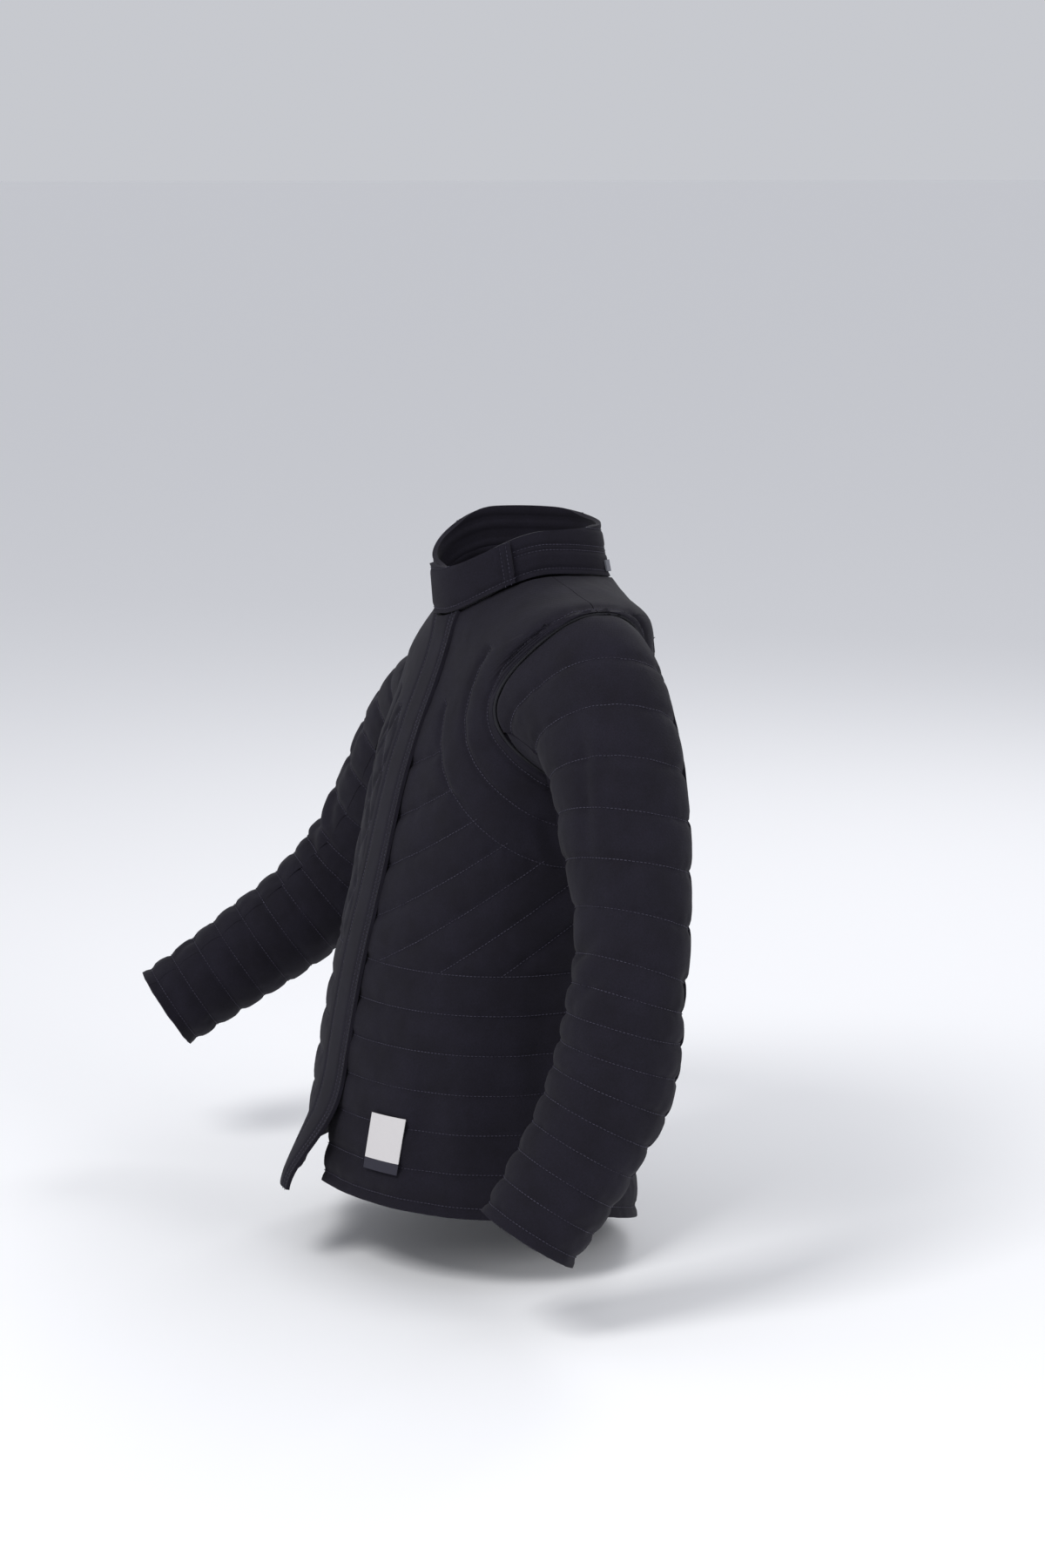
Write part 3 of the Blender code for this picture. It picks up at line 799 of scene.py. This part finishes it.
def fine_sleeve(side, table, first, last, columns):
    """Points of a fine sleeve panel, and each point's distance along the arm from the cuff."""
    travels = np.concatenate((np.linspace(0, 1, CAP_RINGS), np.linspace(1, 2, ARM_RINGS)[1:]))
    angles = np.linspace(first, last, columns)
    grid = []
    for travel in travels:
        if travel >= 1:
            centre, _, outward, rear, wide, deep = sleeve_frames(table, travel)
            ring = [centre + outward * math.cos(a) * wide + rear * math.sin(a) * deep for a in angles]
        else:
            ring = [
                sleeve_point(side, table, (a + math.pi) % (2 * math.pi) - math.pi, travel) for a in angles
            ]
        grid.append(ring)
    points = np.array(grid)
    points = np.vstack((tucked_rings(side, angles), points))
    travels = np.concatenate((np.full(TUCK_RINGS, -1.0), travels))
    cap = (travels < 1) & (travels >= 0)
    if cap.any():
        normals = np.cross(np.gradient(points, axis=1), np.gradient(points, axis=0))
        normals /= np.maximum(np.linalg.norm(normals, axis=2, keepdims=True), 1e-12)
        points[cap] -= normals[cap] * WALL * side
    steps = np.linalg.norm(np.diff(points, axis=0), axis=2)
    along = np.vstack((np.cumsum(steps[::-1], axis=0)[::-1], np.zeros((1, columns))))
    middle = along.mean(axis=1, keepdims=True)
    return points, 0.35 * along + 0.65 * middle, np.tile(angles, (len(travels), 1))


def fold_lift(along, angles, folds):
    """Troughs laid across a sleeve."""
    total = np.zeros(along.shape)
    for place, turn, length, width, depth, slope in folds.values():
        across = (angles - math.radians(turn)) * 0.055
        run = along - place
        bend = math.hypot(1.0, slope)
        over = (across - slope * run) / bend
        down = (run + slope * across) / bend
        total -= depth * np.exp(-(over / width) ** 2 - (down / length) ** 2)
        total += 0.5 * depth * np.exp(-((over - 2 * width) / width) ** 2 - (down / length) ** 2)
    return total


def sleeve_levels():
    """Places of the sleeve's rings of stitching, from the cuff up."""
    forearm = [FOREARM_FIRST + FOREARM_STEP * line for line in range(FOREARM_LINES)]
    upper = [forearm[-1] + UPPER_ARM_STEP * line for line in range(1, UPPER_ARM_LINES)]
    return [CUFF_STITCH] + forearm + upper


def sleeve_panel(name, side, table, first, last, columns, folds):
    """A quilted sleeve panel and its stitches."""
    seam = 0.004
    points, along, angles = fine_sleeve(side, table, first + seam, last - seam, columns)
    if side > 0:
        points, along, angles = points[:, ::-1], along[:, ::-1], angles[:, ::-1]
    fields = [(along, sleeve_levels(), along > 0)]
    shaped = quilt(points, fields, folds=fold_lift(along, angles, folds))
    sheet_piece(f"cloth_{name}", shaped, cotton(), WALL * 0.9)
    stitches(f"stitches_{name}", shaped, fields)


def armhole_piping(word, side):
    """The corded edge of an armhole: a closed cord along the body's edge, rounded at the shoulder."""
    angles = np.linspace(-math.pi, math.pi, CORD_POINTS, endpoint=False)
    spots = np.array([lifted(*armhole_point(side, angle), CORD_LIFT) for angle in angles])
    rounds = range(-CORD_ROUNDING, CORD_ROUNDING + 1)
    spots = sum(np.roll(spots, shift, axis=0) for shift in rounds) / len(rounds)
    cord = bpy.data.curves.new(f"cord_{word}", "CURVE")
    cord.dimensions = "3D"
    cord.bevel_depth = CORD_RADIUS
    cord.bevel_resolution = 3
    line = cord.splines.new("POLY")
    line.points.add(CORD_POINTS - 1)
    for point, spot in zip(line.points, spots):
        point.co = (*spot, 1.0)
    line.use_cyclic_u = True
    drawn = link(bpy.data.objects.new(f"cord_{word}", cord))
    mesh = bpy.data.meshes.new_from_object(drawn.evaluated_get(bpy.context.evaluated_depsgraph_get()))
    bpy.data.objects.remove(drawn)
    mesh.materials.clear()
    mesh.materials.append(binding())
    mesh.shade_smooth()
    piece = link(bpy.data.objects.new(f"piping_{word}", mesh))
    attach(piece, "root")
    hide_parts(f"armhole_piping_{word}")


class JACKET_OT_fronts(bpy.types.Operator):
    """Build the quilted left and right fronts."""
    bl_idname = "jacket.fronts"
    bl_label = "Fronts"

    def execute(self, context):
        left = body_grid(
            lambda row: front_line(CLOSURE_X, row),
            lambda row: side_turn(row) - armhole_turn(row, ARMHOLE_FRONT) - 0.002, FINE_COLUMNS)
        body_panel("front_left", left, [slanted_field(left)])
        right = body_grid(
            lambda row: -math.pi - side_turn(row) + armhole_turn(row, ARMHOLE_FRONT) + 0.002,
            lambda row: front_line(CLOSURE_X, row) - 0.003, FINE_COLUMNS, kick_forward)
        body_panel("front_right", right, lattice_fields(right))
        return {"FINISHED"}


class JACKET_OT_back(bpy.types.Operator):
    """Build the quilted back."""
    bl_idname = "jacket.back"
    bl_label = "Back"

    def execute(self, context):
        half_lines = (
            lambda row: side_turn(row) + armhole_turn(row, ARMHOLE_BACK) + 0.002,
            lambda row: math.pi - side_turn(row) - armhole_turn(row, ARMHOLE_BACK) - 0.002,
        )
        points = body_grid(*half_lines, 2 * FINE_COLUMNS - 20)
        height = points[:, :, 2]
        near = np.minimum(armhole_distance(points, 1), armhole_distance(points, -1))
        skirt = [WAIST_Z - SKIRT_STEP * line for line in range(SKIRT_LINES + 1)]
        chevron, levels = chevron_field(points)
        hem = hem_field(points)
        fields = [
            (height, skirt, height < WAIST_Z + 0.004),
            (near, [ARMHOLE_LINES[0]], height < 0.1),
            (near, [ARMHOLE_LINES[1]], height < -0.035),
            (chevron, levels, (height > WAIST_Z) & (near > ARMHOLE_LINES[1]) & (height < -0.05)),
            (hem, [HEM_STITCH], hem < 0.05),
        ]
        shaped = quilt(points, fields, folds=body_folds(points))
        sheet_piece("cloth_back", shaped, cotton(), WALL * 0.9)
        stitches("stitches_back", shaped, fields)
        return {"FINISHED"}


class JACKET_OT_placket(bpy.types.Operator):
    """Build the strip over the closure, with its double topstitching."""
    bl_idname = "jacket.placket"
    bl_label = "Placket"

    def execute(self, context):
        rows = fine_rows()
        points = np.array([
            [lifted(turn, row, PLACKET_LIFT + WALL, kick_forward)
             for turn in np.linspace(front_line(PLACKET_SEAM_X, row), front_line(PLACKET_EDGE_X, row), 28)]
            for row in rows
        ])
        steps = np.linalg.norm(np.diff(points, axis=1), axis=2)
        inward = np.hstack((np.cumsum(steps[:, ::-1], axis=1)[:, ::-1], np.zeros((len(rows), 1))))
        fields = [(inward, [0.004, 0.010, 0.042], inward > -1)]
        shaped = points + grid_normals(points) * (
            -0.0011 * np.exp(-(channel_depth(points, fields) / 0.0022) ** 2))[:, :, None]
        sheet_piece("cloth_placket", shaped, cotton(), WALL * 0.9)
        stitches("stitches_placket", shaped, fields)
        return {"FINISHED"}


class JACKET_OT_collar(bpy.types.Operator):
    """Build the stand collar, its tab and the hanger."""
    bl_idname = "jacket.collar"
    bl_label = "Collar"

    def execute(self, context):
        def grid(turn_ends, columns, share_ends, rows, lift):
            return np.array([
                [collar_point(turn, share, lift) for turn in np.linspace(*turn_ends, columns)]
                for share in np.linspace(*share_ends, rows)
            ])

        def stitched(name, points, levels, finish, wall, ends=()):
            up = hem_field(points)
            height = up[-1:].max()
            fields = [(up, [height * level for level in levels], up > -1)]
            steps = np.linalg.norm(np.diff(points, axis=1), axis=2)
            back = np.hstack((np.cumsum(steps[:, ::-1], axis=1)[:, ::-1], np.zeros((len(points), 1))))
            fields += [(back, list(ends), up > -1)] if ends else []
            near = channel_depth(points, fields)
            shaped = points + grid_normals(points) * (-0.0012 * np.exp(-(near / 0.0026) ** 2))[:, :, None]
            sheet_piece(f"cloth_{name}", shaped, finish, wall)
            stitches(f"stitches_{name}", shaped, fields)

        stitched("collar", grid(COLLAR_TURN, 200, (0, 1), 40, 0.0), (0.08, 0.36, 0.44, 0.72, 0.93),
                 cotton(), COLLAR_WALL * 0.95)
        tab_lift = GAP + TAB_LIFT + WALL
        stitched("collar_tab", grid(TAB_TURN, 90, (0.02, 0.99), 34, tab_lift), (0.09, 0.91),
                 cotton(), WALL * 0.9, ends=(0.004, 0.010))
        turns = (LOOP_TURN - LOOP_SPAN / 2, LOOP_TURN + LOOP_SPAN / 2)
        sheet_piece("cloth_neck_loop", grid(turns, 12, LOOP_SHARES, 10, GAP + TRIM_WALL), tape(),
                    TRIM_WALL)
        return {"FINISHED"}


class JACKET_OT_sleeves(bpy.types.Operator):
    """Build both quilted sleeves."""
    bl_idname = "jacket.sleeves"
    bl_label = "Sleeves"

    def execute(self, context):
        for word, side, table, folds in (
            ("left", 1, ARM_LEFT, LEFT_FOLDS), ("right", -1, ARM_RIGHT, RIGHT_FOLDS),
        ):
            sleeve_panel(f"sleeve_{word}_outer", side, table, SLEEVE_FRONT_SEAM, SLEEVE_REAR_SEAM, 100, folds)
            under_end = SLEEVE_FRONT_SEAM + 2 * math.pi
            sleeve_panel(f"sleeve_{word}_under", side, table, SLEEVE_REAR_SEAM, under_end, 90, {})
        return {"FINISHED"}


class JACKET_OT_trim(bpy.types.Operator):
    """Finish the armhole piping and the bare woven label."""
    bl_idname = "jacket.trim"
    bl_label = "Trim"

    def execute(self, context):
        for word, side in (("left", 1), ("right", -1)):
            armhole_piping(word, side)
        row_height = BODY[1][1] - BODY[0][1]
        low = LABEL_ROW - LABEL_HEIGHT / row_height
        drop = TAB_LABEL_HEIGHT / row_height
        for name, ends, finish, slot in (
            ("label", (low, LABEL_ROW), label_cloth(), "woven_label"),
            ("label_tab", (low - drop, low), tab_cloth(), "tab_cloth"),
        ):
            points = np.array([
                [lifted(turn_at_x(x, row), row, LABEL_LIFT)
                 for x in np.linspace(LABEL_X - LABEL_SIDE / 2, LABEL_X + LABEL_SIDE / 2, 24)]
                for row in np.linspace(*ends, 20)
            ])
            sheet_piece(f"cloth_{name}", points, finish, TRIM_WALL / 2)
        return {"FINISHED"}


class JACKET_OT_stage(bpy.types.Operator):
    """Lay the floor and set the lights and camera."""
    bl_idname = "jacket.stage"
    bl_label = "Stage"

    def execute(self, context):
        scene = context.scene
        bpy.ops.mesh.primitive_plane_add(size=600, location=(0, 0, CAD_BOX[0][2] - 0.02))
        floor = context.object
        floor.name = "floor"
        paint = bpy.data.materials.new("matt_paper")
        paint.use_nodes = True
        paint.node_tree.nodes["Principled BSDF"].inputs["Base Color"].default_value = (0.96, 0.96, 0.97, 1)
        paint.node_tree.nodes["Principled BSDF"].inputs["Roughness"].default_value = 0.9
        floor.data.materials.append(paint)
        world = scene.world or bpy.data.worlds.new("studio")
        scene.world = world
        world.use_nodes = True
        world.node_tree.nodes["Background"].inputs["Color"].default_value = (0.92, 0.94, 1.0, 1)
        world.node_tree.nodes["Background"].inputs["Strength"].default_value = 0.62
        for name, spot, size, power in (
            ("key", (1.2, -2.2, 2.4), 1.2, 62),
            ("side", (3.0, 1.0, 1.2), 1.2, 22),
            ("rim", (-1.8, 1.8, 1.8), 1.2, 20),
        ):
            lamp = bpy.data.lights.new(name, "AREA")
            lamp.size = size
            lamp.energy = power
            holder = link(bpy.data.objects.new(name, lamp))
            holder.location = spot
            holder.rotation_euler = (Vector((0, 0, -0.25)) - Vector(spot)).to_track_quat("-Z", "Y").to_euler()
        turn, rise, reach = math.radians(68), math.radians(10), 3.36
        back = Vector((math.sin(turn) * math.cos(rise), -math.cos(turn) * math.cos(rise), math.sin(rise)))
        right = Vector((math.cos(turn), math.sin(turn), 0))
        up = back.cross(right)
        lens = bpy.data.cameras.new("camera")
        lens.lens = 80
        camera = link(bpy.data.objects.new("camera", lens))
        off_right, off_up = 0.0025, 0.1864
        place = back * reach - right * off_right - up * off_up
        camera.matrix_world = Matrix((
            (right.x, up.x, back.x, place.x), (right.y, up.y, back.y, place.y),
            (right.z, up.z, back.z, place.z), (0, 0, 0, 1)))
        scene.camera = camera
        scene.view_settings.view_transform = "Standard"
        return {"FINISHED"}


class JACKET_PT_panel(bpy.types.Panel):
    """The jacket's operators and sizes."""
    bl_label = "Jacket"
    bl_idname = "JACKET_PT_panel"
    bl_space_type = "VIEW_3D"
    bl_region_type = "UI"
    bl_category = "Jacket"

    def draw(self, context):
        for step in STEPS:
            self.layout.operator(f"jacket.{step}")
        for name in ("channel_depth", "channel_width", "pucker", "stitch_step"):
            self.layout.prop(context.scene.jacket_sizes, name)


STEPS = ("fronts", "back", "placket", "collar", "sleeves", "trim", "stage")
CLASSES = (
    JacketSizes, JacketColours, JACKET_OT_fronts, JACKET_OT_back, JACKET_OT_placket, JACKET_OT_collar,
    JACKET_OT_sleeves, JACKET_OT_trim, JACKET_OT_stage, JACKET_PT_panel,
)


def register():
    """Register the classes and the scene's settings."""
    for kind in CLASSES:
        bpy.utils.register_class(kind)
    bpy.types.Scene.jacket_sizes = bpy.props.PointerProperty(type=JacketSizes)
    bpy.types.Scene.jacket_colours = bpy.props.PointerProperty(type=JacketColours)


def unregister():
    """Take the classes and settings out again."""
    del bpy.types.Scene.jacket_sizes
    del bpy.types.Scene.jacket_colours
    for kind in reversed(CLASSES):
        bpy.utils.unregister_class(kind)


def main():
    """Register the classes and build every piece in order."""
    register()
    for step in STEPS:
        getattr(bpy.ops.jacket, step)()


if __name__ == "__main__":
    main()
